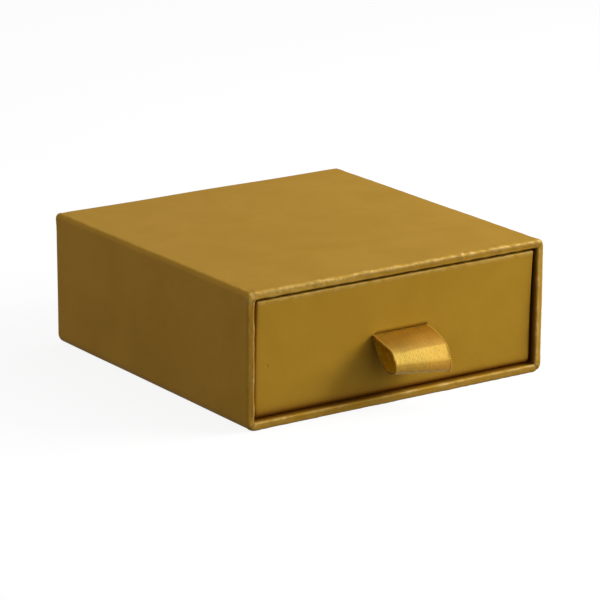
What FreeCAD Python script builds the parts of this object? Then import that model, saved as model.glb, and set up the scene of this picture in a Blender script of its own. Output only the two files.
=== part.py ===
import FreeCAD, Part

import collections
import math
import os

import Sketcher

# Sliding drawer gift box of paper-wrapped greyboard, with a satin ribbon pull
# Millimetres; origin at the centre of the sleeve's underside, +Z up, the drawer opens towards -Y

SIZES = {
    # Sleeve, over its paper
    "sleeve_width": 90.0,
    "sleeve_depth": 90.0,
    "sleeve_height": 35.0,
    "sleeve_board": 1.8,
    "sleeve_top_radius": 1.8,
    "sleeve_bottom_radius": 2.6,
    "sleeve_rim_radius": 0.65,
    "sleeve_turn_in": 14.0,
    "back_fold_over": 12.0,
    "back_paper_margin": 1.5,
    # Papers
    "wrap_paper": 0.15,
    "lining_paper": 0.12,
    "tape_paper": 0.1,
    "patch_paper": 0.15,
    # Corner tapes
    "tape_leg": 8.0,
    "tape_end_margin": 3.0,
    # Drawer and its running clearances
    "drawer_board": 1.5,
    "drawer_edge_radius": 1.5,
    "drawer_rim_radius": 0.45,
    "drawer_recess": 1.5,
    "drawer_side_gap": 0.7,
    "drawer_top_gap": 0.7,
    "drawer_rest_gap": 0.1,
    "drawer_rear_gap": 0.3,
    "lining_rim_margin": 3.0,
    # Ribbon pull
    "ribbon_width": 16.4,
    "ribbon_thick": 0.35,
    "ribbon_offset": 1.4,
    "ribbon_above_middle": 0.6,
    "ribbon_layer_gap": 0.1,
    "ribbon_tail": 6.0,
    "loop_radius": 2.95,
    "loop_reach_left": 7.4,
    "loop_drop_left": 4.75,
    "loop_reach_right": 8.6,
    "loop_drop_right": 6.6,
    "slit_play": 0.15,
    "patch_margin": 2.5,
    # Overrun of every cut past the face that it opens
    "overrun": 1.0,
}

# Origin plane that each axis is square to, and whether the plane's normal runs with the axis
SKETCH_PLANES = {"x": ("YZ_Plane", True), "y": ("XZ_Plane", False), "z": ("XY_Plane", True)}

# Edges closer than this to a place lie on it
TOUCH = 1e-6

# The radius of a corner that isn't rounded
SHARP = "0"

Outline = collections.namedtuple("Outline", "left right low high low_radius high_radius",
                                 defaults=(SHARP, SHARP))

doc = FreeCAD.newDocument("drawer_gift_box")
sheet = doc.addObject("Spreadsheet::Sheet", "Sizes")
for row, (alias, size) in enumerate(SIZES.items(), start=1):
    sheet.set(f"A{row}", alias.replace("_", " "))
    sheet.set(f"B{row}", str(size))
    sheet.setAlias(f"B{row}", alias)
doc.recompute()


# Outlines, as expressions on the sheet


def box_outline(half_width, low, high, low_radius=SHARP, high_radius=SHARP):
    """An outline that is symmetric across, between the heights low and high."""
    return Outline(f"-({half_width})", half_width, low, high, low_radius, high_radius)


def inset(outline, depth):
    """The outline moved inwards by depth all round, its rounded corners that much smaller."""
    radii = [outline.low_radius, outline.high_radius]
    return Outline(
        f"{outline.left} + {depth}",
        f"{outline.right} - ({depth})",
        f"{outline.low} + {depth}",
        f"{outline.high} - ({depth})",
        *[radius if radius == SHARP else f"{radius} - ({depth})" for radius in radii],
    )


def squared(outline):
    """The outline with sharp corners."""
    return outline._replace(low_radius=SHARP, high_radius=SHARP)


def corners(outline):
    """The four corners of the outline, counter-clockwise from the low left."""
    return [
        (outline.left, outline.low),
        (outline.right, outline.low),
        (outline.right, outline.high),
        (outline.left, outline.high),
    ]


# Sketches


def new_sketch(body, name, axis, place):
    """An empty sketch square to an axis of the body, at the place along that axis."""
    role, with_axis = SKETCH_PLANES[axis]
    sketch = body.newObject("Sketcher::SketchObject", name)
    plane = [item for item in body.Origin.OriginFeatures if item.Role == role][0]
    sketch.AttachmentSupport = [(plane, "")]
    sketch.MapMode = "FlatFace"
    sketch.setExpression("AttachmentOffset.Base.z", place if with_axis else f"-({place})")
    return sketch


def value(sketch, expression):
    """The expression's present value, in millimetres."""
    return float(sketch.evalExpression(expression))


def bind(sketch, kind, expression, *where):
    """Add a constraint of this kind, held to the expression."""
    index = sketch.addConstraint(Sketcher.Constraint(kind, *where, value(sketch, expression)))
    sketch.setExpression(f"Constraints[{index}]", expression)


def bind_point(sketch, element, end, across, up):
    """Hold one point of an element to its place from the sketch's origin."""
    bind(sketch, "DistanceX", across, -1, 1, element, end)
    bind(sketch, "DistanceY", up, -1, 1, element, end)


def draw_polygon(sketch, points):
    """A closed loop of lines, with every point held to its two expressions."""
    first = sketch.GeometryCount
    places = [FreeCAD.Vector(value(sketch, across), value(sketch, up), 0) for across, up in points]
    count = len(points)
    for index in range(count):
        sketch.addGeometry(Part.LineSegment(places[index], places[(index + 1) % count]))
    for index in range(count):
        following = first + (index + 1) % count
        sketch.addConstraint(Sketcher.Constraint("Coincident", first + index, 2, following, 1))
    for index, (across, up) in enumerate(points):
        bind_point(sketch, first + index, 1, across, up)


def draw_rounded(sketch, outline):
    """A rectangle with an arc at each corner, held by the centres and radii of its arcs."""
    first = sketch.GeometryCount
    low, high = outline.low_radius, outline.high_radius
    arcs = [
        (f"{outline.left} + {low}", f"{outline.low} + {low}", low),
        (f"{outline.right} - ({low})", f"{outline.low} + {low}", low),
        (f"{outline.right} - ({high})", f"{outline.high} - ({high})", high),
        (f"{outline.left} + {high}", f"{outline.high} - ({high})", high),
    ]
    count = len(arcs)
    curves = []
    for index, (across, up, radius) in enumerate(arcs):
        centre = FreeCAD.Vector(value(sketch, across), value(sketch, up), 0)
        circle = Part.Circle(centre, FreeCAD.Vector(0, 0, 1), value(sketch, radius))
        start = math.pi + index * math.pi / 2
        curves.append(Part.ArcOfCircle(circle, start, start + math.pi / 2))
    for curve in curves:
        sketch.addGeometry(curve)
    for index in range(count):
        ends = curves[index].EndPoint, curves[(index + 1) % count].StartPoint
        sketch.addGeometry(Part.LineSegment(*ends))
    for index, (across, up, radius) in enumerate(arcs):
        arc, line = first + index, first + count + index
        following = first + (index + 1) % count
        sketch.addConstraint(Sketcher.Constraint("Tangent", arc, 2, line, 1))
        sketch.addConstraint(Sketcher.Constraint("Tangent", line, 2, following, 1))
        bind(sketch, "Radius", radius, arc)
        bind_point(sketch, arc, 3, across, up)


def draw(sketch, loop):
    """Draw an outline, rounded where it has radii, or a list of points."""
    if not isinstance(loop, Outline):
        draw_polygon(sketch, loop)
    elif loop.low_radius == SHARP:
        draw_polygon(sketch, corners(loop))
    else:
        draw_rounded(sketch, loop)


# Features


def new_body(name):
    """An empty body whose label names its piece."""
    body = doc.addObject("PartDesign::Body", name)
    body.Label = name
    body.AllowCompound = True
    return body


def add_block(body, name, axis, start, end, *loops):
    """Pad the loops along an axis of the body, from start to end."""
    with_axis = SKETCH_PLANES[axis][1]
    sketch = new_sketch(body, f"{name}_sketch", axis, start if with_axis else end)
    for loop in loops:
        draw(sketch, loop)
    pad = body.newObject("PartDesign::Pad", name)
    pad.Profile = sketch
    pad.setExpression("Length", f"({end}) - ({start})")
    doc.recompute()
    return pad


def cut_block(body, name, axis, start, end, *loops):
    """Pocket the loops along an axis of the body, from start to end, and see that they cut."""
    before = body.Shape.Volume
    with_axis = SKETCH_PLANES[axis][1]
    sketch = new_sketch(body, f"{name}_sketch", axis, end if with_axis else start)
    for loop in loops:
        draw(sketch, loop)
    pocket = body.newObject("PartDesign::Pocket", name)
    pocket.Profile = sketch
    pocket.setExpression("Length", f"({end}) - ({start})")
    doc.recompute()
    if body.Shape.Volume >= before:
        raise RuntimeError(f"{name} cuts nothing")
    return pocket


def pick_edges(base, name, chosen):
    """The names of the edges of a feature that the test picks out."""
    edges = [f"Edge{index}" for index, edge in enumerate(base.Shape.Edges, start=1) if chosen(edge)]
    if not edges:
        raise RuntimeError(f"{name} finds no edge")
    return edges


def round_edges(body, name, radius, chosen):
    """Fillet the body's edges that the test picks out."""
    base = body.Tip
    fillet = body.newObject("PartDesign::Fillet", name)
    fillet.Base = (base, pick_edges(base, name, chosen))
    fillet.setExpression("Radius", radius)
    doc.recompute()
    return fillet


def flatten_edges(body, name, radius, chosen):
    """Chamfer the board's edges that the test picks out, touching the round that the paper takes."""
    base = body.Tip
    chamfer = body.newObject("PartDesign::Chamfer", name)
    chamfer.Base = (base, pick_edges(base, name, chosen))
    chamfer.setExpression("Size", f"(2 - sqrt(2)) * ({radius} - Sizes.wrap_paper)")
    doc.recompute()
    return chamfer


def lies_at(edge, axis, place):
    """Whether the whole edge lies in the plane square to an axis at this place."""
    box = edge.BoundBox
    low = getattr(box, f"{axis.upper()}Min")
    high = getattr(box, f"{axis.upper()}Max")
    return abs(low - place) < TOUCH and abs(high - place) < TOUCH


def subtract(name, base, tool):
    """A piece that is the base less the tool."""
    result = doc.addObject("Part::Cut", name)
    result.Label = name
    result.Base = base
    result.Tool = tool
    doc.recompute()
    return result


def overlap(name, base, tool):
    """A piece that is what the base and the tool share."""
    result = doc.addObject("Part::Common", name)
    result.Label = name
    result.Base = base
    result.Tool = tool
    doc.recompute()
    return result


def mitred_panel(new_piece, name, shell, axis, start, end, outer, inner, side):
    """One wall of a shell of boards, parted from its neighbours along the corners' mitres."""
    past = "Sizes.overrun"
    outer_corners = corners(inset(outer, f"-{past}"))
    inner_corners = corners(inner)
    following = (side + 1) % len(inner_corners)
    mitre = new_piece(f"{name}_mitre")
    wedge = [outer_corners[side], outer_corners[following], inner_corners[following], inner_corners[side]]
    add_block(mitre, f"{name}_wedge", axis, start, end, wedge)
    return overlap(name, shell, mitre)


def corner_tapes(new_piece, name, axis, start, end, outer):
    """Four strips bent round the corners of an outline, sunk flush into its boards."""
    tapes = new_piece(name)
    inner = inset(outer, "Sizes.tape_paper")
    add_block(tapes, f"{name}_ring", axis, start, end, outer, inner)
    across = inset(outer, "Sizes.tape_leg")
    wide = Outline(f"{outer.left} - Sizes.overrun", f"{outer.right} + Sizes.overrun",
                   across.low, across.high)
    tall = Outline(across.left, across.right,
                   f"{outer.low} - Sizes.overrun", f"{outer.high} + Sizes.overrun")
    cut_block(tapes, f"{name}_side_gaps", axis, start, end, wide)
    cut_block(tapes, f"{name}_face_gaps", axis, start, end, tall)
    return tapes


# Sleeve: faces, from the outside in

rim_y = "-Sizes.sleeve_depth / 2"
rear_y = "Sizes.sleeve_depth / 2"
fold_over_y = f"{rear_y} - Sizes.wrap_paper"
board_front_y = f"{rim_y} + Sizes.wrap_paper"
board_rear_y = f"{fold_over_y} - Sizes.wrap_paper"
back_inner_y = f"{board_rear_y} - Sizes.sleeve_board"
turn_in_y = f"{board_front_y} + Sizes.sleeve_turn_in"

sleeve_outer = box_outline("Sizes.sleeve_width / 2", "0", "Sizes.sleeve_height",
                           "Sizes.sleeve_bottom_radius", "Sizes.sleeve_top_radius")
sleeve_boards = inset(sleeve_outer, "Sizes.wrap_paper")
sleeve_hollow = squared(inset(sleeve_boards, "Sizes.sleeve_board"))
sleeve_mouth = inset(sleeve_hollow, "Sizes.wrap_paper")
sleeve_lined = inset(sleeve_hollow, "Sizes.lining_paper")
back_opening = squared(inset(sleeve_outer, "Sizes.back_fold_over"))
back_pasted = squared(inset(sleeve_outer, "Sizes.back_paper_margin"))


def make_sleeve_boards():
    """Top, right, bottom and left boards, mitred along the box, and the back board between them."""
    ring = new_body("sleeve_ring")
    add_block(ring, "sleeve_ring_boards", "y", board_front_y, board_rear_y, sleeve_boards, sleeve_hollow)
    front = value(sheet, board_front_y)
    rear = value(sheet, board_rear_y)
    hollow_half = value(sheet, sleeve_hollow.right)
    hollow_low, hollow_high = value(sheet, sleeve_hollow.low), value(sheet, sleeve_hollow.high)

    def worn(edge):
        """The rim's two arrises, and the outer one of the rear."""
        box = edge.BoundBox
        beside = max(abs(box.XMin), abs(box.XMax)) > hollow_half + TOUCH
        above_or_below = box.ZMin > hollow_high + TOUCH or box.ZMax < hollow_low - TOUCH
        return lies_at(edge, "y", front) or (lies_at(edge, "y", rear) and (beside or above_or_below))

    flatten_edges(ring, "sleeve_ring_arrises", "Sizes.sleeve_rim_radius", worn)
    tapes = corner_tapes(new_body, "sleeve_corner_tapes", "y", f"{board_front_y} + Sizes.tape_end_margin",
                         f"{board_rear_y} - Sizes.tape_end_margin", sleeve_boards)
    rebated = subtract("sleeve_rebated_ring", ring, tapes)
    panels = []
    for side, place in enumerate(["bottom", "right", "top", "left"]):
        panels.append(mitred_panel(new_body, f"sleeve_{place}_board", rebated, "y",
                                   board_front_y, board_rear_y, sleeve_boards, sleeve_hollow, side))
    back = new_body("sleeve_back_board")
    add_block(back, "sleeve_back_panel", "y", back_inner_y, board_rear_y, sleeve_hollow)
    return ring, [*panels, back, tapes]


def make_sleeve_wrap(ring):
    """The gold sheet round the sleeve, turned in over the rim and folded over the back."""
    blank = new_body("sleeve_wrap_blank")
    add_block(blank, "sleeve_wrap_outside", "y", rim_y, fold_over_y, sleeve_outer)
    rear = value(sheet, fold_over_y)
    round_edges(blank, "sleeve_wrap_rear_arris", "Sizes.sleeve_rim_radius",
                lambda edge: lies_at(edge, "y", rear))
    cut_block(blank, "sleeve_wrap_mouth", "y", rim_y, turn_in_y, sleeve_mouth)
    cut_block(blank, "sleeve_wrap_hollow", "y", turn_in_y, board_rear_y, sleeve_hollow)
    cut_block(blank, "sleeve_wrap_back_opening", "y", board_rear_y,
              f"{fold_over_y} + Sizes.overrun", back_opening)
    front = value(sheet, rim_y)
    round_edges(blank, "sleeve_wrap_rim", "Sizes.sleeve_rim_radius",
                lambda edge: lies_at(edge, "y", front))
    return subtract("sleeve_wrap", blank, ring)


def make_sleeve_papers():
    """The end paper pasted on the back, and the linings of the walls and of the back."""
    back_paper = new_body("sleeve_back_paper")
    add_block(back_paper, "sleeve_back_sheet", "y", fold_over_y, rear_y, back_pasted)
    add_block(back_paper, "sleeve_back_step", "y", board_rear_y, rear_y, back_opening)
    cut_block(back_paper, "sleeve_back_dip", "y", fold_over_y, f"{rear_y} + Sizes.overrun",
              inset(back_opening, "Sizes.wrap_paper"))

    lining = new_body("sleeve_lining")
    add_block(lining, "sleeve_lining_tube", "y", turn_in_y, back_inner_y, sleeve_hollow, sleeve_lined)

    back_lining = new_body("sleeve_back_lining")
    add_block(back_lining, "sleeve_back_lining_sheet", "y", f"{back_inner_y} - Sizes.lining_paper",
              back_inner_y, sleeve_lined)
    return [back_paper, lining, back_lining]


# Drawer: faces in its own frame, with the origin at the centre of its underside
# Every body of the drawer is drawn in that frame and placed where the closed drawer stands

sleeve_wall = "(Sizes.sleeve_board + 2 * Sizes.wrap_paper)"
drawer_front_y = f"{rim_y} + Sizes.drawer_recess"
drawer_rear_y = f"{back_inner_y} - Sizes.lining_paper - Sizes.drawer_rear_gap"
drawer_centre_y = f"(({drawer_front_y}) + ({drawer_rear_y})) / 2"
drawer_base_z = f"{sleeve_wall} + Sizes.drawer_rest_gap"
drawer_half_width = f"(Sizes.sleeve_width / 2 - {sleeve_wall} - Sizes.drawer_side_gap)"
drawer_half_depth = f"((({drawer_rear_y}) - ({drawer_front_y})) / 2)"
drawer_height = f"(Sizes.sleeve_height - 2 * {sleeve_wall} - Sizes.drawer_top_gap - Sizes.drawer_rest_gap)"

floor_under_z = "Sizes.wrap_paper"
floor_top_z = f"{floor_under_z} + Sizes.drawer_board"
board_top_z = f"{drawer_height} - Sizes.wrap_paper"

drawer_outer = box_outline(drawer_half_width, f"-{drawer_half_depth}", drawer_half_depth)
drawer_boards = inset(drawer_outer, "Sizes.wrap_paper")
board_edge_radius = "Sizes.drawer_edge_radius - Sizes.wrap_paper"
drawer_rounded_boards = drawer_boards._replace(low_radius=board_edge_radius, high_radius=board_edge_radius)
drawer_hollow = inset(drawer_boards, "Sizes.drawer_board")
drawer_turned = inset(drawer_hollow, "Sizes.wrap_paper")
drawer_lined = inset(drawer_turned, "Sizes.lining_paper")

ribbon_z = f"({drawer_height} / 2 + Sizes.ribbon_above_middle)"
ribbon_left_x = "Sizes.ribbon_offset - Sizes.ribbon_width / 2"
ribbon_right_x = "Sizes.ribbon_offset + Sizes.ribbon_width / 2"
layers_half = "(Sizes.ribbon_layer_gap / 2 + Sizes.ribbon_thick)"
slit = Outline(f"{ribbon_left_x} - Sizes.slit_play", f"{ribbon_right_x} + Sizes.slit_play",
               f"{ribbon_z} - {layers_half} - Sizes.slit_play",
               f"{ribbon_z} + {layers_half} + Sizes.slit_play")
slit_start_y = f"{drawer_outer.low} - Sizes.overrun"
slit_end_y = f"{drawer_lined.low} + Sizes.overrun"


def new_drawer_body(name):
    """An empty body that stands in the closed drawer's place in the sleeve."""
    body = new_body(name)
    body.setExpression("Placement.Base.y", drawer_centre_y)
    body.setExpression("Placement.Base.z", drawer_base_z)
    return body


def make_drawer_boards():
    """Four walls mitred at the uprights, the floor board between them, and the corner tapes."""
    ring = new_drawer_body("drawer_ring")
    add_block(ring, "drawer_ring_boards", "z", floor_under_z, board_top_z, drawer_rounded_boards)
    foot = value(sheet, floor_under_z)
    flatten_edges(ring, "drawer_ring_foot", "Sizes.drawer_edge_radius",
                  lambda edge: lies_at(edge, "z", foot))
    cut_block(ring, "drawer_ring_hollow", "z", floor_under_z, board_top_z, drawer_hollow)
    cut_block(ring, "drawer_ring_slit", "y", slit_start_y, slit_end_y, slit)
    top = value(sheet, board_top_z)
    flatten_edges(ring, "drawer_ring_rim", "Sizes.drawer_rim_radius",
                  lambda edge: lies_at(edge, "z", top))
    tapes = corner_tapes(new_drawer_body, "drawer_corner_tapes", "z",
                         f"{floor_under_z} + Sizes.tape_end_margin",
                         f"{board_top_z} - Sizes.tape_end_margin", drawer_rounded_boards)
    rebated = subtract("drawer_rebated_ring", ring, tapes)
    panels = []
    for side, place in enumerate(["front", "right", "back", "left"]):
        panels.append(mitred_panel(new_drawer_body, f"drawer_{place}_board", rebated, "z",
                                   floor_under_z, board_top_z, drawer_boards, drawer_hollow, side))
    floor = new_drawer_body("drawer_floor_board")
    add_block(floor, "drawer_floor_panel", "z", floor_under_z, floor_top_z, drawer_hollow)
    return ring, [*panels, floor, tapes]


def make_drawer_wrap(ring):
    """The gold sheet round the drawer, turned over the rim and down the inside to the floor."""
    blank = new_drawer_body("drawer_wrap_blank")
    add_block(blank, "drawer_wrap_outside", "z", "0", drawer_height, drawer_outer)
    top = value(sheet, drawer_height)
    round_edges(blank, "drawer_wrap_edges", "Sizes.drawer_edge_radius",
                lambda edge: not lies_at(edge, "z", top))
    cut_block(blank, "drawer_wrap_inside", "z", floor_top_z, drawer_height, drawer_turned)
    cut_block(blank, "drawer_wrap_floor", "z", floor_under_z, floor_top_z, drawer_hollow)
    cut_block(blank, "drawer_wrap_slit", "y", slit_start_y, slit_end_y, slit)
    round_edges(blank, "drawer_wrap_rim", "Sizes.drawer_rim_radius",
                lambda edge: lies_at(edge, "z", top))
    return subtract("drawer_wrap", blank, ring)


def make_drawer_papers():
    """The linings of the drawer's walls and floor."""
    walls = new_drawer_body("drawer_wall_lining")
    add_block(walls, "drawer_wall_band", "z", floor_top_z, f"{drawer_height} - Sizes.lining_rim_margin",
              drawer_turned, drawer_lined)
    cut_block(walls, "drawer_wall_slit", "y", slit_start_y, slit_end_y, slit)

    floor = new_drawer_body("drawer_floor_lining")
    add_block(floor, "drawer_floor_sheet", "z", floor_top_z, f"{floor_top_z} + Sizes.lining_paper",
              drawer_lined)
    return [walls, floor]


# Ribbon pull: one strip, both ends through the slit and spread flat on the lining behind it


def tangent_angle(start, centre, radius, turn):
    """The angle on a circle at which a line from start touches it, over it (-1) or under it (1)."""
    away = centre - start
    return math.atan2(away.y, away.x) + turn * (math.asin(radius / away.Length) + math.pi / 2)


def draw_ribbon_edge(sketch, reach, drop):
    """The strip's section: tails, two layers in the slit, and a loop drawn tight round its nose."""
    front, behind = drawer_outer.low, drawer_lined.low
    inside = f"{behind} + Sizes.ribbon_thick"
    gap = "Sizes.ribbon_layer_gap / 2"
    nose = (f"{front} - {reach}", f"{ribbon_z} - {drop}")
    outer_run = [
        (behind, f"{ribbon_z} + Sizes.ribbon_tail"),
        (behind, f"{ribbon_z} + {layers_half}"),
        (front, f"{ribbon_z} + {layers_half}"),
    ]
    inner_run = [
        (inside, f"{ribbon_z} + Sizes.ribbon_tail"),
        (inside, f"{ribbon_z} + {gap}"),
        (front, f"{ribbon_z} + {gap}"),
    ]
    low_outer_run = [
        (front, f"{ribbon_z} - {layers_half}"),
        (behind, f"{ribbon_z} - {layers_half}"),
        (behind, f"{ribbon_z} - Sizes.ribbon_tail"),
    ]
    low_inner_run = [
        (front, f"{ribbon_z} - {gap}"),
        (inside, f"{ribbon_z} - {gap}"),
        (inside, f"{ribbon_z} - Sizes.ribbon_tail"),
    ]
    centre = FreeCAD.Vector(value(sketch, nose[0]), value(sketch, nose[1]), 0)
    faces = [
        (outer_run, low_outer_run, "Sizes.loop_radius"),
        (inner_run, low_inner_run, "Sizes.loop_radius - Sizes.ribbon_thick"),
    ]
    chains = []
    for upper, lower, radius in faces:
        chains.append(draw_ribbon_face(sketch, upper, lower, nose, centre, radius))
    ends = zip(chains[0], chains[1])
    for (outer_line, outer_end), (inner_line, inner_end) in ends:
        places = sketch.getPoint(outer_line, outer_end), sketch.getPoint(inner_line, inner_end)
        closing = sketch.addGeometry(Part.LineSegment(*places))
        sketch.addConstraint(Sketcher.Constraint("Coincident", closing, 1, outer_line, outer_end))
        sketch.addConstraint(Sketcher.Constraint("Coincident", closing, 2, inner_line, inner_end))


def draw_ribbon_face(sketch, upper, lower, nose, centre, radius):
    """One face of the strip: the upper run, its arc round the nose, and the lower run."""
    runs = [[FreeCAD.Vector(value(sketch, across), value(sketch, up), 0) for across, up in run]
            for run in (upper, lower)]
    size = value(sketch, radius)
    start = tangent_angle(runs[0][-1], centre, size, -1)
    end = tangent_angle(runs[1][0], centre, size, 1)
    arc_curve = Part.ArcOfCircle(Part.Circle(centre, FreeCAD.Vector(0, 0, 1), size), start, end)
    over = [*runs[0], arc_curve.StartPoint]
    under = [arc_curve.EndPoint, *runs[1]]
    over_lines = [sketch.addGeometry(Part.LineSegment(a, b)) for a, b in zip(over, over[1:])]
    arc = sketch.addGeometry(arc_curve)
    under_lines = [sketch.addGeometry(Part.LineSegment(a, b)) for a, b in zip(under, under[1:])]
    for lines in (over_lines, under_lines):
        for line, following in zip(lines, lines[1:]):
            sketch.addConstraint(Sketcher.Constraint("Coincident", line, 2, following, 1))
    for line, (across, up) in zip(over_lines, upper):
        bind_point(sketch, line, 1, across, up)
    for line, (across, up) in zip(under_lines, lower):
        bind_point(sketch, line, 2, across, up)
    sketch.addConstraint(Sketcher.Constraint("Tangent", over_lines[-1], 2, arc, 1))
    sketch.addConstraint(Sketcher.Constraint("Tangent", arc, 2, under_lines[0], 1))
    bind(sketch, "Radius", radius, arc)
    bind_point(sketch, arc, 3, *nose)
    return (over_lines[0], 1), (under_lines[-1], 2)


def make_ribbon():
    """The satin strip, whose loop hangs lower at its right edge, and the patch over its tails."""
    ribbon = new_drawer_body("ribbon_pull")
    left = new_sketch(ribbon, "ribbon_left_edge", "x", ribbon_left_x)
    draw_ribbon_edge(left, "Sizes.loop_reach_left", "Sizes.loop_drop_left")
    right = new_sketch(ribbon, "ribbon_right_edge", "x", ribbon_right_x)
    draw_ribbon_edge(right, "Sizes.loop_reach_right", "Sizes.loop_drop_right")
    strip = ribbon.newObject("PartDesign::AdditiveLoft", "ribbon_strip")
    strip.Profile = left
    strip.Sections = [right]
    strip.Ruled = True
    doc.recompute()

    patch = new_drawer_body("ribbon_anchor_patch")
    tails = Outline(ribbon_left_x, ribbon_right_x,
                    f"{ribbon_z} - Sizes.ribbon_tail", f"{ribbon_z} + Sizes.ribbon_tail")
    behind = drawer_lined.low
    covered = f"{behind} + Sizes.ribbon_thick"
    sheet_outline = inset(tails, "-Sizes.patch_margin")
    add_block(patch, "ribbon_patch_sheet", "y", behind, f"{covered} + Sizes.patch_paper", sheet_outline)
    cut_block(patch, "ribbon_patch_dip", "y", f"{behind} - Sizes.overrun", covered,
              inset(tails, "-Sizes.slit_play"))
    return [ribbon, patch]


def check_document():
    """Raise if any object of the document failed or holds a broken shape."""
    for item in doc.Objects:
        if {"Invalid", "Error"} & set(item.State):
            raise RuntimeError(f"{item.Name} failed: {item.State}")
        if item.isDerivedFrom("Sketcher::SketchObject") and item.solve() != 0:
            raise RuntimeError(f"{item.Name} doesn't solve")


def export(pieces):
    """Check each piece's shape and write it under its label."""
    os.makedirs("parts", exist_ok=True)
    for piece in pieces:
        shape = piece.Shape
        if shape.isNull() or not shape.isValid() or not shape.Solids:
            raise RuntimeError(f"{piece.Label} has no valid solid")
        shape.exportStep(f"parts/{piece.Label}.step")
        box = shape.BoundBox
        spans = [f"{low:8.3f} {high:8.3f}" for low, high in
                 [(box.XMin, box.XMax), (box.YMin, box.YMax), (box.ZMin, box.ZMax)]]
        print(f"{piece.Label:24s} {len(shape.Solids)} solids {shape.Volume:10.2f} mm3", *spans)


sleeve_ring, sleeve_panels = make_sleeve_boards()
drawer_ring, drawer_panels = make_drawer_boards()
parts = [
    *sleeve_panels,
    make_sleeve_wrap(sleeve_ring),
    *make_sleeve_papers(),
    *drawer_panels,
    make_drawer_wrap(drawer_ring),
    *make_drawer_papers(),
    *make_ribbon(),
]
doc.recompute()
check_document()
export(parts)
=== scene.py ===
import math

import bpy
import numpy as np
from bpy.props import FloatProperty, FloatVectorProperty
from mathutils import Matrix, Vector


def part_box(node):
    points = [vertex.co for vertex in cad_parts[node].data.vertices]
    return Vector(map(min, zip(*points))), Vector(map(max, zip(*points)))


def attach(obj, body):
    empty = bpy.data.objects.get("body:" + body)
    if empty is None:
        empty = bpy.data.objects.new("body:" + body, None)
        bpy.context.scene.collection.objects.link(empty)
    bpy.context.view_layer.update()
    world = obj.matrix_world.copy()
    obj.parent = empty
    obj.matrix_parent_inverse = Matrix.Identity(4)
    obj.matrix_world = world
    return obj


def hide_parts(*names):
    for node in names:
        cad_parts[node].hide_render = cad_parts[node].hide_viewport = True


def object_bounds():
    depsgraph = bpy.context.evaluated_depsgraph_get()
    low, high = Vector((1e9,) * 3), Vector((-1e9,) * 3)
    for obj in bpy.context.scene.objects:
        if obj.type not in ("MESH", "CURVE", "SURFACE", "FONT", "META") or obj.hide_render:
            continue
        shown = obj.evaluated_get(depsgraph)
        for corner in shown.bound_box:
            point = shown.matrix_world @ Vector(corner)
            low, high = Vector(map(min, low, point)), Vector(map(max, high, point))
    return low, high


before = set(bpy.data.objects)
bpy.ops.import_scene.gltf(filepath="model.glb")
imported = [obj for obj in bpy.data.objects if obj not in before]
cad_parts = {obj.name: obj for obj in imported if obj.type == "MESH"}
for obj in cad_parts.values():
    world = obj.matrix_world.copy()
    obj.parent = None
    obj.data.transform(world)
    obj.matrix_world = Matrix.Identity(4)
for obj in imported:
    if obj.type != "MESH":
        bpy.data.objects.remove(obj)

CAD_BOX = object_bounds()

bl_info = {
    "name": "Drawer gift box",
    "version": (1, 0, 0),
    "blender": (4, 5, 0),
    "location": "3D View > Sidebar > Gift Box",
    "description": "Dresses a drawer gift box in wrinkled gold paper and a satin ribbon pull",
    "category": "Object",
}

MM = 0.001
QUARTER = math.pi / 2

# Directions of a ring's four sides, the low one first
AHEAD = np.array([[1, 0], [0, 1], [-1, 0], [0, -1]])

# Least radius of a corner
TIGHT = 0.03 * MM


# Sizes and colours that a user would change


def number_kind(subtype, unit="NONE", scale=1.0, **limits):
    """A function that makes number properties of this kind, given in a unit of this scale."""
    def make(name, description, default):
        return FloatProperty(name=name, description=description, default=default * scale,
                             subtype=subtype, unit=unit, **limits)
    return make


length = number_kind("DISTANCE", "LENGTH", MM, precision=5)
angle = number_kind("ANGLE", "ROTATION", math.pi / 180)
power = number_kind("POWER", "POWER")
plain = number_kind("NONE")
share = number_kind("FACTOR", min=0.0, max=1.0)


def colour(name, description, default):
    """A linear colour."""
    return FloatVectorProperty(name=name, description=description, default=default,
                               subtype="COLOR", size=3, min=0.0, max=1.0)


class SleeveSettings(bpy.types.PropertyGroup):
    """Gold sheet round the sleeve."""
    paper: length("Paper", "Thickness of the sheet", 0.15)
    wall: length("Rim width", "Board and two papers across the rim", 2.1)
    rim_radius: length("Rim radius", "Round of the rim's outer arris", 0.78)
    lip_radius: length("Lip radius", "Round of the rim's inner arris", 0.42)
    rear_radius: length("Rear radius", "Round of the arris at the back", 0.65)
    top_radius: length("Top edge radius", "Round of the long top edge at the right", 1.8)
    left_radius: length("Left edge radius", "Round of the long top edge at the left", 1.25)
    bottom_radius: length("Bottom edge radius", "Round of the two long bottom edges", 2.6)
    turn_in: length("Turn-in", "Depth of the sheet inside the mouth", 14.15)
    fold_over: length("Fold over the back", "Width of the sheet on the back", 12.0)
    swell: length("Rim swell", "Height of the loose paper along the rim", 0.16)
    crumple: length("Rim crumple", "Height of the small creases along the rim", 0.1)
    seam_step: length("Corner fold", "Step of the folded paper at the rim's corners", 0.13)
    bow: length("Panel bow", "Unevenness of the flat panels", 0.035)
    left_wave: length("Left edge wave", "Ripple of the long top edge at the left", 0.055)
    right_wave: length("Right edge wave", "Ripple of the long top edge at the right", 0.02)


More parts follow.
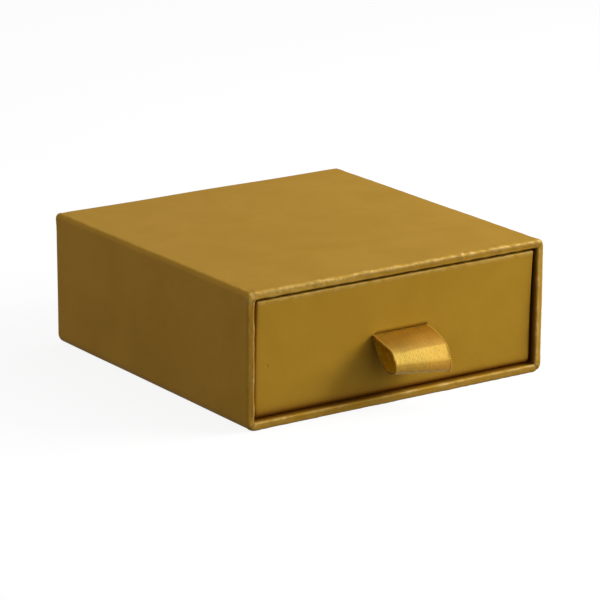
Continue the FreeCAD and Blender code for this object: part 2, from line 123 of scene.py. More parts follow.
class DrawerSettings(bpy.types.PropertyGroup):
    """Gold sheet round the drawer."""
    wall: length("Wall", "Board and two papers across the wall", 1.8)
    edge_radius: length("Upright radius", "Round of the upright edges", 0.7)
    foot_radius: length("Foot radius", "Round of the lower edges", 1.58)
    rim_radius: length("Rim radius", "Round of the rim's two arrises", 0.45)
    floor: length("Floor", "Height of the floor board over the underside", 1.65)
    lean: length("Lean", "How far the top of the front leans out", 0.9)
    bow: length("Panel bow", "Unevenness of the flat panels", 0.03)
    slit_left: length("Slit left", "Left end of the ribbon's slit", -6.95)
    slit_right: length("Slit right", "Right end of the ribbon's slit", 9.0)
    slit_height: length("Slit height", "Middle of the slit over the table", 17.8)
    slit_half: length("Slit half opening", "Half the opening of the slit", 0.55)


class RibbonSettings(bpy.types.PropertyGroup):
    """Satin strip of the pull."""
    thickness: length("Ribbon", "Thickness of the satin", 0.3)
    width: length("Width", "Width of the ribbon", 16.4)
    middle: length("Middle", "Place of the ribbon's middle across the box", 1.4)
    tail: length("Tail", "Length of each end behind the slit", 5.9)
    layer_gap: length("Layer gap", "Gap between the two layers in the slit", 0.14)
    cup: length("Cup", "How far the edges curl", 0.12)
    thread: length("Edge thread", "Radius of the thread round the edges", 0.11)
    stitch: length("Edge stitch", "Spacing of the thread's turns", 0.62)
    drift: length("Drift", "How far the ribbon shifts to the left outside the slit", 0.75)


class FinishSettings(bpy.types.PropertyGroup):
    """Colours of the papers, boards and ribbon."""
    gold: colour("Gold", "Gold paper", (0.415, 0.230, 0.022))
    gold_deep: colour("Deep gold", "Gold paper where it is darker", (0.33, 0.176, 0.013))
    # Light gold of worn folds, also painted as a highlight along the sleeve's rim
    gold_worn_and_painted_highlight: colour("Rubbed gold", "Gold paper along its worn folds", (0.56, 0.385, 0.115))
    # Dark gold of the fold seams and specks, also used as painted shade in the gaps, on the rim's
    # face and inside the mouth
    gold_dark_and_painted_shade: colour("Dark gold", "Gold paper in folds and where it is dull", (0.16, 0.055, 0.004))
    satin: colour("Satin", "Raised threads of the ribbon", (0.37, 0.152, 0.002))
    # Colour of the ribbon's reverse, painted lighter to stand for the light inside its loop
    satin_reverse_painted_light: colour("Satin's reverse", "Threads inside the ribbon's loop", (0.97, 0.58, 0.03))
    satin_deep: colour("Deep satin", "Gaps between the ribbon's threads", (0.19, 0.066, 0.002))
    thread: colour("Thread", "Threads round the ribbon's edges", (0.62, 0.34, 0.035))
    ivory: colour("Lining", "Lining paper", (0.71, 0.60, 0.42))
    greyboard: colour("Greyboard", "Board core", (0.23, 0.185, 0.13))
    kraft: colour("Kraft tape", "Corner tape", (0.39, 0.215, 0.089))


class StudioSettings(bpy.types.PropertyGroup):
    """Camera, lamps and floor."""
    azimuth: angle("Azimuth", "Camera's turn round the box", -34.567)
    elevation: angle("Elevation", "Camera's height over the box", 16.222)
    roll: angle("Roll", "Camera's tilt", 0.274)
    distance: length("Distance", "Camera's distance", 854.81)
    aim_across: length("Aim across", "View's middle, right of the box's middle", 0.931)
    aim_up: length("Aim up", "View's middle, over the box's middle", -2.18)
    focus: plain("Focal length", "Lens of a 36 mm sensor, in millimetres", 199.464)
    key: power("Key lamp", "Power of the lamp at the right", 3.88)
    soft: power("Soft lamp", "Power of the large lamp in front", 2.85)
    top: power("Top lamp", "Power of the lamp overhead", 1.95)
    fill: power("Fill lamp", "Power of the lamp at the left", 2.6)
    room: share("Room light", "Strength of the light from all round", 0.16)
    glow: share("Floor glow", "Light that the floor gives off where it is seen", 0.89)


# Surfaces, as arrays with a row for each place along a profile and a column for each place round it


def ramp(values, start, width):
    """Three squares less two cubes of the way through a span, held between nothing and one.

    The span's start and width are in millimetres."""
    held = np.clip((values / MM - start) / width, 0.0, 1.0)
    return held * held * (3.0 - 2.0 * held)


def bump(values, width):
    """One at nothing, falling as the exponential of minus the square of values over width.

    The width is in millimetres."""
    return np.exp(-(values / (width * MM)) ** 2)


def unit(vectors):
    """Vectors of length one in the same directions."""
    return vectors / np.maximum(np.linalg.norm(vectors, axis=-1, keepdims=True), 1e-12)


def way(points):
    """Distances along a row of points from the first one."""
    return np.concatenate([[0], np.linalg.norm(np.diff(points, axis=0), axis=1).cumsum()])


def ripple(points, spacing, seed, waves=10):
    """Sine waves along random directions through the points, added up to a spread of about one.

    Their lengths run from two thirds to one and a half times the spacing, in millimetres."""
    random = np.random.default_rng(seed)
    directions = unit(random.normal(size=(waves, 3)))
    turns = directions / (spacing * MM * 1.5 ** random.uniform(-1, 1, (waves, 1)))
    phases = random.uniform(0, 2 * math.pi, waves)
    return np.sin(2 * math.pi * points @ turns.T + phases).sum(-1) / math.sqrt(waves / 2)


def packed(start, end, count, pull=0.7):
    """Places from start to end, nearer together at both ends: even steps mixed with a cosine's."""
    steps = np.linspace(0.0, 1.0, count)
    return start + (end - start) * ((1 - pull) * steps + pull * (1 - np.cos(math.pi * steps)) / 2)


def ring(box, radii, inset, sides, arc_steps, hold):
    """A rounded rectangle drawn once for each inset, counter-clockwise from its low left corner.

    Each corner is a quarter circle on its radius less the inset, about a centre as far from both
    sides. A point of a side moves straight in by the inset, and within the hold share of an end
    it also moves along with that end."""
    left, right, low, high = box
    corners = np.array([[left, low], [right, low], [right, high], [left, high]])
    inset = inset[:, None, None]
    runs = []
    for side, places in enumerate(sides):
        ahead, inward = AHEAD[side], AHEAD[(side + 1) % 4]
        span = (corners[(side + 1) % 4] - corners[side]) @ ahead
        radius, next_radius = radii[side], radii[(side + 1) % 4]
        rounds = np.maximum(radius - inset, TIGHT)
        pulled = inset + rounds - radius
        next_pulled = inset + np.maximum(next_radius - inset, TIGHT) - next_radius
        turns = np.linspace(0, QUARTER, arc_steps + 1)[None, :, None]
        centre = corners[side] + (inset + rounds) * (ahead + inward)
        runs.append(centre - rounds * (ahead * np.cos(turns) + inward * np.sin(turns)))
        places = places[None, :, None]
        along = radius + places * (span - radius - next_radius)
        along = along + pulled * np.clip(1 - places / hold, 0, 1)
        along = along - next_pulled * np.clip(1 - (1 - places) / hold, 0, 1)
        runs.append(corners[side] + ahead * along + inward * inset)
    return np.concatenate(runs, axis=1)


def quarter(steps):
    """Sine and one less the cosine of the angles inside a quarter turn."""
    turns = np.linspace(0, QUARTER, steps + 2)[1:-1]
    return np.sin(turns), 1 - np.cos(turns)


def held_shares(**values):
    """The named values, held between nothing and one."""
    return {label: np.clip(numbers, 0, 1) for label, numbers in values.items()}


def outward(points):
    """Unit normals of a grid that is closed round: the cross product of its two directions."""
    across = np.roll(points, -1, axis=1) - np.roll(points, 1, axis=1)
    along = np.gradient(points, axis=0)
    return unit(np.cross(across, along))


def quads(rows, columns, closed):
    """Corner numbers of a grid's faces, which run round to the first column where it is closed."""
    row, column = np.mgrid[0:rows - 1, 0:columns if closed else columns - 1]
    following = (column + 1) % columns
    corners = [row * columns + column, row * columns + following,
               (row + 1) * columns + following, (row + 1) * columns + column]
    return np.stack(corners, axis=-1)


def add_object(name, data):
    """An object with this data, in the scene."""
    made = bpy.data.objects.new(name, data)
    bpy.context.scene.collection.objects.link(made)
    return made


def new_piece(name, points, faces, body, material, values=None):
    """A smooth mesh of the points and faces that rides on a body; values are its attributes."""
    mesh = bpy.data.meshes.new(name)
    mesh.from_pydata(points.reshape(-1, 3).tolist(), [], faces)
    mesh.polygons.foreach_set("use_smooth", np.ones(len(mesh.polygons), bool))
    for label, numbers in (values or {}).items():
        mesh.attributes.new(label, "FLOAT", "POINT").data.foreach_set("value", numbers.ravel())
    mesh.materials.append(material)
    mesh.update()
    piece = add_object(name, mesh)
    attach(piece, body)
    return piece


def thicken(piece, thickness, offset=-1.0):
    """Give a sheet its thickness: inwards, or to both sides of it where the offset is nothing."""
    solid = piece.modifiers.new("Thickness", "SOLIDIFY")
    solid.thickness = thickness
    solid.offset = offset


def turned_in(edge, inward, wall, radii, outside, face_count, inside, round_count):
    """Insets and places of a sheet that runs along the outside, over a rim and back inside.

    The rim at the edge is a quarter circle on the first radius, a flat face and a quarter circle
    on the second. Inward is one where places grow from the edge on, else minus one."""
    outer, inner = radii
    rise, fall = quarter(round_count)
    face = np.linspace(outer, wall - inner, face_count)
    inset = [0 * outside, outer * fall, face, wall - inner * (1 - rise), wall + 0 * inside]
    place = [outside, edge + inward * outer * (1 - rise), edge + 0 * face,
             edge + inward * inner * fall, inside]
    return np.concatenate(inset), np.concatenate(place)


def folds(across, up, lines, fade):
    """Steps of folded paper at the rim's corners, and how near each point is to one.

    A line runs from an inner corner to an outer one. Paper to its left lies higher, and that
    height falls off again over the fade."""
    step, seam = 0.0, 0.0
    for start, end in lines:
        start, end = np.array(start) * MM, np.array(end) * MM
        reach = np.linalg.norm(end - start)
        ahead = (end - start) / reach
        away = (up - start[1]) * ahead[0] - (across - start[0]) * ahead[1]
        along = (across - start[0]) * ahead[0] + (up - start[1]) * ahead[1]
        near = ramp(along, -0.5, 0.5) * ramp(reach - along, -0.9, 0.8)
        near *= np.hypot(across - start[0], up - start[1]) < 9 * MM
        step += near * ramp(away, -0.11, 0.22) * np.exp(-np.maximum(away, 0) / fade)
        seam += near * bump(away, 0.16)
    return step, seam


# Gold sheet round the sleeve

# Folds in the rim's corners: inner and outer end, in millimetres
SLEEVE_FOLDS = [
    ((-42.9, 2.1), (-45.0, 0.4)), ((42.9, 2.1), (44.6, 0.2)),
    ((42.9, 32.9), (44.7, 34.7)), ((-42.9, 32.9), (-42.7, 35.2))]

# Ridges over the top rim: millimetres across, and height as a share of the swell
RIDGES = [(15.5, 0.5), (18.6, 1.0), (21.8, 0.8), (25.0, 0.6), (-21.0, 0.35)]

# Point where the fold at the top left corner stands proud, in metres
TIP = (-42.75 * MM, 34.9 * MM)


def rim_height(sizes, points, run, right, high):
    """How far the sleeve's sheet lies off its profile: loose paper, ridges, folds and bowed panels.

    The run is the way along the profile from the rim's outer arris. Ripples within bell curves of
    the rim's two arrises are its swell and creases. A ridge is a bell curve with a hollow beside
    it. The long top edges ripple a little, and the panels bow. Outside the rim and under the
    drawer the height is limited, so that the paper stays on its board."""
    across, up = points[..., 0], points[..., 2]
    edge = bump(run, 1.0)
    lip = bump(run - sizes.wall + 0.5 * MM, 0.6)
    stretched = points * (1.0, 0.4, 1.0)
    upper = ramp(up - high, -4, 3)
    swell = (0.25 + 0.75 * upper) * (0.4 + 0.45 * ripple(stretched, 7.5, 3))
    creases = (0.35 + 0.65 * upper) * (np.abs(ripple(stretched, 3.4, 5)) - 0.4)
    height = sizes.swell * edge * np.clip(swell, 0, 1.3) + sizes.crumple * creases * edge
    height += lip * sizes.crumple * (0.3 + 0.5 * ripple(points, 4.5, 11))
    for place, height_share in RIDGES:
        ridge = bump(across - place * MM, 1.0) * (up > high - 3 * MM)
        height += ridge * bump(run + 0.35 * MM, 0.7) * height_share * sizes.swell * 1.3
        hollow = bump(across - (place + 1.6) * MM, 0.9) * (up > high - 3 * MM)
        height -= hollow * bump(run, 0.8) * height_share * sizes.swell
    step, seam = folds(across, up, SLEEVE_FOLDS, 2.2 * MM)
    mouth = ramp(run, -1.6, 0.6) * ramp(-run, -3.2, 1.5)
    height += sizes.seam_step * step * mouth
    tip = np.hypot(across - TIP[0], up - TIP[1])
    height += sizes.swell * bump(tip, 0.5) * mouth
    long_edge = bump(np.hypot(np.abs(across) - right + 1.2 * MM, up - high + 1.2 * MM), 2.6)
    long_edge *= (run < 0) * np.where(across < 0, sizes.left_wave, sizes.right_wave)
    height += long_edge * ripple(points * (1, 1, 0.5), 3.8, 17)
    height += sizes.bow * ramp(-run, 0, 4) * ripple(points, 38, 23) * 0.6
    height = np.maximum(height, -0.09 * MM * ramp(-run, 0.8, 1.0))
    height = np.where(run > 3.2 * MM, 0, height)
    height = np.where((up < 4 * MM) & (run > 1.2 * MM), np.minimum(height, 0.05 * MM), height)
    return height, lip, upper, seam * mouth


def sleeve_surface(sizes, depth_steps=50, wide_steps=142, tall_steps=54):
    """Grid of the sheet from its edge on the back, over the sleeve, round the rim and into the mouth.

    Its profile is four straight runs and three quarter circles, carried round a rounded rectangle,
    and its points then move along the surface's normal by the rim's height. Its attributes say where
    a highlight is painted on the paper along the rim's arrises and swells, partly worn paper, where
    it is folded, and where shade is painted on it, on the rim's face and inside the mouth, as bell
    curves and smooth steps along the profile."""
    (left, front, low), (right, rear, high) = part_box("sleeve_wrap")
    rise, fall = quarter(6)
    back, radius, wall = sizes.rear_radius, sizes.rim_radius, sizes.wall
    outside = packed(rear - back, front + radius, depth_steps, 0.85)
    inside = np.linspace(front + sizes.lip_radius, front + sizes.turn_in, 12)
    inset, depth = turned_in(front, 1, wall, (radius, sizes.lip_radius), outside, 5, inside, 6)
    on_back = np.linspace(sizes.fold_over, back, 8)
    inset = np.concatenate([on_back, back * (1 - rise), inset])
    depth = np.concatenate([rear + 0 * on_back, rear - back * fall, depth])
    run = way(np.stack([inset, depth], axis=1))
    arris = run[len(on_back) + len(rise) + len(outside) + len(rise) // 2]
    run = (run - arris)[:, None]
    wide, tall = (packed(0, 1, count, 0.8)[1:-1] for count in (wide_steps, tall_steps))
    radii = [sizes.bottom_radius] * 2 + [sizes.top_radius, sizes.left_radius]
    outline = ring((left, right, low, high), radii, inset, [wide, tall] * 2, 8, 0.5)
    across, up = outline[..., 0], outline[..., 1]
    points = np.stack([across, np.broadcast_to(depth[:, None], across.shape), up], axis=-1)
    height, lip, upper, seam = rim_height(sizes, points, run, right, high)
    moved = points + outward(points) * height[..., None]
    moved[..., 2] = np.maximum(moved[..., 2], low)

    lower = ramp(low - up, -4, 2)
    leftmost = ramp(left - across, -4, 2) * (1 - upper) * (1 - lower)
    ahead = ramp(across, -22, 20)
    facing = ramp(run, 0, 0.4) * ramp(wall - run, 0.4, 0.4)
    # Painted highlight, partly worn paper: along the rim's outer arris, the lip of the other rims and
    # the top rim's face at the left, stronger where the paper swells
    ridge = bump(run - 0.3 * MM, 0.5) * (0.35 + 0.65 * upper)
    ridge += lip * (1 - upper) * np.clip(0.75 + 0.5 * ripple(points, 8, 51), 0, None)
    ridge += 0.4 * facing * upper * (1 - ahead)
    # Painted shade: the rim's face darker at the top right, at the bottom and most at the left, and
    # the sheet inside the mouth nearly the dark gold
    dull = 0.28 * upper * ahead + 0.22 * lower + 0.52 * leftmost
    dull *= ramp(run, 0.1, 0.5) * ramp(wall - run, 0.5, 0.4)
    dull += 0.92 * ramp(run - wall, -0.15, 0.7)
    return moved, held_shares(
        rubbed=ridge * (0.6 + 0.8 * height / sizes.swell), seam=seam, dull=dull)


# Gold sheet round the drawer

# Folds in the rim's corners: inner and outer end, in millimetres
DRAWER_FOLDS = [
    ((-40.4, -41.7), (-42.2, -43.6)), ((40.4, -41.7), (42.1, -43.6)),
    ((40.4, 40.68), (42.2, 42.4)), ((-40.4, 40.68), (-42.3, 42.3))]


def drawer_surface(sizes, wall_steps=40, wide_steps=120, deep_steps=60):
    """Grid of the sheet from the middle of the underside, up the walls, over the rim and down inside.

    Its profile is straight runs and three quarter circles, carried round a rounded rectangle that
    shrinks to a point at the middle of the underside. The front leans out by the square of the
    height. Long ripples, a fold at each corner of the rim and the slit's pressed lips are added.
    Shade is painted on the paper, standing for the shadow in the gaps, along the front's foot and
    left edge, by bell curves, and along its right edge and lower right corner, by a smooth step. That
    painted shade goes on 3 mm round the upright edges."""
    (left, front, low), (right, rear, high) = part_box("drawer_wrap")
    rise, fall = quarter(5)
    radius, foot, rim, wall = sizes.edge_radius, sizes.foot_radius, sizes.rim_radius, sizes.wall
    slit = [sizes.slit_height - sizes.slit_half, sizes.slit_height + sizes.slit_half]
    shrink = np.linspace(0, 1, 12)
    outside = np.unique(np.concatenate([packed(low + foot, high - rim, wall_steps, 0.6), slit]))
    inside = np.unique(np.concatenate([np.linspace(low + sizes.floor, high - rim, 12), slit]))[::-1]
    inset, level = turned_in(high, -1, wall, (rim, rim), outside, 4, inside, 5)
    inset = np.concatenate([foot + 0 * shrink, foot * (1 - rise), inset])
    level = np.concatenate([low + 0 * shrink, low + foot * fall, level])
    size = np.concatenate([shrink, np.ones(len(level) - len(shrink))])
    free = (right - radius) - (left + radius)
    ends = [(place - left - radius) / free for place in (sizes.slit_left, sizes.slit_right)]
    wide = np.unique(np.concatenate([packed(0, 1, wide_steps, 0.6)[1:-1], ends]))
    deep = packed(0, 1, deep_steps, 0.6)[1:-1]
    outline = ring((left, right, front, rear), [radius] * 4, inset, [wide, deep] * 2, 6, 0.15)
    middle = np.array([(left + right) / 2, (front + rear) / 2])
    outline = middle + (outline - middle) * size[:, None, None]
    across, back = outline[..., 0], outline[..., 1]
    up = np.broadcast_to(level[:, None], across.shape)
    points = np.stack([across, back, up], axis=-1)
    normals = outward(points)
    normals[0] = (0, 0, -1)

    first_wall = len(shrink) + len(rise)
    last_wall = first_wall + len(outside)
    order = np.arange(len(level))[:, None]
    walls = (order >= first_wall) & (order < last_wall)
    height = walls * sizes.bow * ripple(points, 26, 31) * 0.55
    beyond = np.clip(sizes.slit_left - across, 0, None) + np.clip(across - sizes.slit_right, 0, None)
    beyond = np.hypot(beyond, up - sizes.slit_height)
    height += walls * (back < front + 2 * MM) * 0.10 * MM * bump(beyond - 0.9 * MM, 0.7)
    rim_rows = ramp(up - high, -1.2, 0.6)
    height += rim_rows * 0.035 * MM * (0.6 + ripple(points * (1, 1, 0.4), 3.2, 37))
    step, seam = folds(across, back, DRAWER_FOLDS, 1.8 * MM)
    height += 0.07 * MM * step * rim_rows
    height = np.clip(height, -0.08 * MM, 0.25 * MM)
    slope = np.clip((up - low) / (high - low), 0, 1) ** 2
    frontness = ramp(front - back, -1.3, 1.2) * (order < last_wall + 8)
    moved = points + normals * height[..., None]
    moved[..., 1] -= sizes.lean * slope * frontness

    # Painted shade for the shadow in the gaps: along the front's foot, narrower to the right, along
    # its left edge, and at its right edge and lower right corner, over the front and 3 mm round the
    # upright edges
    fade = 1.65 - 0.35 * across / right
    painted_shade = 1.15 * bump(np.maximum(up - low, 0), fade) + 0.6 * bump(across - left, 0.85)
    corner = np.hypot(np.maximum(across - right + 2.6 * MM, 0), np.maximum(low + 2.6 * MM - up, 0))
    painted_shade = np.maximum(painted_shade, ramp(corner, 2.1, 0.8)) * (back < front + 3 * MM)
    # The rim's top rows are painted lighter: worn folds, and a painted highlight along the front's
    # top edge
    return moved, held_shares(rubbed=rim_rows * 0.55, seam=seam * rim_rows, dull=painted_shade)


def open_slit(points, sizes):
    """Faces of the drawer's grid without those in the slit, and fans round its first row's point."""
    rows, columns = points.shape[:2]
    corners = quads(rows, columns, True)
    middles = points.reshape(-1, 3)[corners].mean(axis=2)
    inside = (middles[..., 0] > sizes.slit_left) & (middles[..., 0] < sizes.slit_right)
    inside &= np.abs(middles[..., 2] - sizes.slit_height) < sizes.slit_half
    inside &= middles[..., 1] < points[..., 1].min() + 5 * MM
    fan = corners[0][:, [0, 2, 3]] - columns + 1
    fan[:, 0] = 0
    rest = corners[1:][~inside[1:]] - columns + 1
    return fan.tolist() + rest.tolist()


# Satin ribbon

# The loop's left and right edges, in millimetres out of the drawer's front and up from the slit
LOOP_LEFT = [
    (0.3, 0.22), (1.5, -0.05), (3.0, -0.55), (5.0, -1.1), (7.0, -1.75), (8.1, -2.3), (8.75, -2.85),
    (9.4, -3.8), (9.85, -4.6), (10.05, -5.1), (10.15, -6.0), (9.95, -6.75), (9.3, -7.2), (8.2, -7.4),
    (7.1, -7.3), (6.0, -6.9), (4.9, -6.1), (3.9, -5.0), (3.0, -3.8), (2.1, -2.5), (1.1, -1.1),
    (0.3, -0.24)]
LOOP_RIGHT = [
    (0.3, 0.22), (1.1, 0.2), (2.1, 0.12), (3.9, -0.3), (6.7, -1.4), (8.3, -2.25), (9.0, -2.95),
    (9.85, -4.3), (10.65, -5.7), (10.92, -6.45), (11.05, -7.55), (10.9, -8.5), (10.35, -9.0),
    (9.1, -9.25), (7.6, -9.15), (6.3, -8.6), (5.2, -7.5), (4.3, -6.2), (3.4, -4.6), (2.3, -2.6),
    (1.2, -1.0), (0.3, -0.24)]


def smooth_curve(places, count):
    """Curves through the places: cubics whose slope at each is half the way between its neighbours.

    Places and the result have a row for each point along the curves and a column for each curve,
    and the result's points are evenly spaced along the curves' mean."""
    before, after = places[:1] * 2 - places[1:2], places[-1:] * 2 - places[-2:-1]
    held = np.concatenate([before, places, after])
    first, start, end, last = held[:-3], held[1:-2], held[2:-1], held[3:]
    part = np.linspace(0, 1, 24, endpoint=False)[None, :, None, None]
    slope, next_slope = (end - first) / 2, (last - start) / 2
    start, end, slope, next_slope = (item[:, None] for item in (start, end, slope, next_slope))
    dense = ((2 * part ** 3 - 3 * part ** 2 + 1) * start + (part ** 3 - 2 * part ** 2 + part) * slope
             + (3 * part ** 2 - 2 * part ** 3) * end + (part ** 3 - part ** 2) * next_slope)
    dense = np.concatenate([dense.reshape(-1, *places.shape[1:]), places[-1:]])
    run = way(dense.mean(axis=1))
    rows = np.interp(np.linspace(0, run[-1], count), run, np.arange(len(run)))
    low = np.minimum(rows.astype(int), len(run) - 2)
    rest = (rows - low)[:, None, None]
    return dense[low] * (1 - rest) + dense[low + 1] * rest, run[-1]


def ribbon_surface(sizes, rows=230, columns=44):
    """Grid of the strip along its length and across its width, and its length.

    Its two edges are smooth curves, and the points between them lie on straight lines from edge
    to edge, moved along the surface's normal by the fourth power of the way from the middle, as
    the edges curl, and by ripples that grow with the distance out of the slit. The right edge is
    pinched in by the drift inside the slit, and the left edge follows it just outside."""
    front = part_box("drawer_wrap")[0].y
    slit = bpy.context.scene.giftbox_drawer.slit_height
    layer = (sizes.layer_gap + sizes.thickness) / 2
    behind = -(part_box("ribbon_pull")[1].y - front - sizes.thickness / 2)
    entry = [(behind, sizes.tail), (behind, 3.4 * MM), (behind, 1.1 * MM),
             (behind + 0.5 * MM, layer + 0.05 * MM), (-0.7 * MM, layer)]
    leave = [(out, -up) for out, up in reversed(entry)]
    edges = [np.array(entry + [(out * MM, up * MM) for out, up in loop] + leave)
             for loop in (LOOP_LEFT, LOOP_RIGHT)]
    path, run = smooth_curve(np.stack(edges, axis=1), rows)
    part = packed(0, 1, columns, 0.5)[None, :]
    out, up = (path[:, :1, axis] * (1 - part) + path[:, 1:, axis] * part for axis in (0, 1))
    pinched = ramp(out, -1.2, 1.4)
    shifted = ramp(out, -0.2, 0.8)
    loose = ramp(out, 1.5, 5)
    across = sizes.middle + (part - 0.5) * sizes.width
    across = across - sizes.drift * (part * pinched + (1 - part) * shifted)
    points = np.stack([across, front - out, slit + up], axis=-1)
    normals = unit(np.cross(np.gradient(points, axis=1), np.gradient(points, axis=0)))
    curl = -sizes.cup * ((2 * part - 1) ** 4) * loose
    wave = 0.10 * MM * ripple(points * (1, 0.5, 0.5), 11, 41) * loose
    points += normals * (curl + wave)[..., None]
    points[..., 0] += 0.06 * MM * ripple(points, 4, 43) * (2 * part - 1) * loose
    return points, normals, run


def edge_threads(points, normals, sizes):
    """A thread wound round each edge of the strip outside the slit, as a tube's points and faces.

    The tube's middle is a helix about a line just inside the edge, wound unevenly by a ripple, and
    its section is a ring of six points."""
    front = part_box("drawer_wrap")[0].y
    shown = points[:, 0, 1] < front - 0.5 * MM
    sides, steps = 6, 12
    turns = np.linspace(0, 2 * math.pi, sides, endpoint=False)[:, None]
    tubes, faces = [], []
    for column, side in ((0, -1.0), (-1, 1.0)):
        edge, normal = points[shown, column], normals[shown, column]
        run = way(edge)
        places = np.linspace(0, run[-1], int(run[-1] / sizes.stitch * steps))
        edge, normal = (np.stack([np.interp(places, run, item[:, axis]) for axis in range(3)], axis=1)
                        for item in (edge, normal))
        winding = 2 * math.pi * places / sizes.stitch + 0.5 * ripple(edge, 1.5, 47)
        beside = np.array([side, 0.0, 0.0])
        spoke = normal * np.cos(winding)[:, None] + beside * np.sin(winding)[:, None]
        reach = sizes.thickness / 2 + sizes.thread * 0.6
        middle = edge + spoke * reach - beside * 0.10 * MM
        ahead = unit(np.gradient(middle, axis=0))
        level = unit(spoke - (spoke * ahead).sum(axis=1, keepdims=True) * ahead)
        third = np.cross(ahead, level)
        tube = level[:, None] * np.cos(turns) + third[:, None] * np.sin(turns)
        start = sum(len(item) for item in tubes)
        faces += (quads(len(middle), sides, True).reshape(-1, 4) + start).tolist()
        faces.append((np.arange(sides)[::-1] + start).tolist())
        faces.append((np.arange(sides) + start + (len(middle) - 1) * sides).tolist())
        tubes.append((middle[:, None] + sizes.thread * tube).reshape(-1, 3))
    return np.concatenate(tubes), faces


# Finishes


def feed(tree, node, inputs):
    """Give each named input of a node a number, a colour or a link."""
    for name, source in inputs.items():
        if isinstance(source, bpy.types.NodeSocket):
            tree.links.new(source, node.inputs[name])
        else:
            node.inputs[name].default_value = source


def put(tree, kind, inputs=None, **settings):
    """Add a node with its settings and its inputs."""
    node = tree.nodes.new(kind)
    for name, setting in settings.items():
        setattr(node, name, setting)
    feed(tree, node, inputs or {})
    return node


def reckon(tree, operation, *numbers):
    """The result of a Math node."""
    return put(tree, "ShaderNodeMath", dict(enumerate(numbers)), operation=operation).outputs[0]


def times(tree, first, second):
    """The product of two numbers."""
    return reckon(tree, "MULTIPLY", first, second)


def spread(tree, number, low, high, to_low, to_high):
    """A number between low and high, moved to between two others and held there."""
    return put(tree, "ShaderNodeMapRange", {
        "Value": number, "From Min": low, "From Max": high, "To Min": to_low, "To Max": to_high,
    }).outputs[0]


def object_place(tree):
    """Places in the object's frame."""
    return put(tree, "ShaderNodeTexCoord").outputs["Object"]


def noise(tree, place, scale, **inputs):
    """Noise between nothing and one, with so many spots to the metre."""
    return put(tree, "ShaderNodeTexNoise", {"Vector": place, "Scale": scale, **inputs}).outputs[0]


def layered(tree, base, *layers):
    """A colour with others mixed over it one after another, each by its own share."""
    result = (*base, 1.0)
    for over, other in layers:
        result = put(tree, "ShaderNodeMix", {0: over, 6: result, 7: (*other, 1.0)},
                     data_type="RGBA").outputs[2]
    return result


def relief(tree, height, millimetres):
    """A normal from a height of nothing to one, at this depth."""
    return put(tree, "ShaderNodeBump", {"Height": height, "Distance": millimetres * MM}).outputs[0]


def grouped(tree, name, place, inputs=None):
    """What a group of GROUPS gives at a place; the group is made when it is first asked for."""
    group = bpy.data.node_groups.get(name)
    if not group:
        group = bpy.data.node_groups.new(name, "ShaderNodeTree")
        fill, numbers = GROUPS[name]
        group.interface.new_socket("Vector", in_out="INPUT", socket_type="NodeSocketVector")
        for label, default in numbers.items():
            group.interface.new_socket(
                label, in_out="INPUT", socket_type="NodeSocketFloat").default_value = default
        results = fill(group, group.nodes.new("NodeGroupInput").outputs)
        for label in results:
            group.interface.new_socket(label, in_out="OUTPUT", socket_type="NodeSocketFloat")
        feed(group, group.nodes.new("NodeGroupOutput"), results)
    inputs = {"Vector": place, **(inputs or {})}
    return put(tree, "ShaderNodeGroup", inputs, node_tree=group).outputs


def paper_grain(group, given):
    """Group: fibres and cloudiness of a sheet of paper or board, and sparse pressed specks."""
    place, fibres = given["Vector"], given["Fibres per metre"]
    fine = noise(group, place, fibres, Detail=3.0, Roughness=0.65)
    coarse = noise(group, place, times(group, fibres, 0.16), Detail=2.0, Distortion=1.2)
    clouds = noise(group, place, given["Clouds per metre"],
                   Detail=5.0, Roughness=0.55, Distortion=0.6)
    cells = put(group, "ShaderNodeTexVoronoi", {"Vector": place, "Scale": given["Specks per metre"]})
    chance = put(group, "ShaderNodeSeparateColor", {"Color": cells.outputs["Color"]}).outputs
    reach = times(group, chance[1], 0.09)
    beyond = reckon(group, "SUBTRACT", cells.outputs["Distance"], reach)
    return {
        "Grain": reckon(group, "MULTIPLY_ADD", coarse, 0.5, times(group, fine, 0.5)),
        "Cloud": spread(group, clouds, 0.32, 0.68, 0, 1),
        "Speck": times(group, spread(group, beyond, -0.03, 0, 1, 0),
                       reckon(group, "GREATER_THAN", chance[0], 0.8))}


def fold_wear_and_painted_light(group, given):
    """Group: where a fold is worn and a highlight is painted on it, where its seam lies, and where
    shade is painted, from the mesh's attributes, with the highlight broken up by noise.
    """
    # The Dull mask is painted shade; the first mask carries worn folds with a painted highlight, the
    # second the fold seams
    masks = {label: put(group, "ShaderNodeAttribute", attribute_name=label.lower()).outputs["Fac"]
             for label in ("Rubbed", "Seam", "Dull")}
    patches = noise(group, given["Vector"], 800.0, Detail=4.0, Roughness=0.7)
    masks["Rubbed"] = times(group, masks["Rubbed"], spread(group, patches, 0.4, 0.6, 0.15, 1))
    return masks


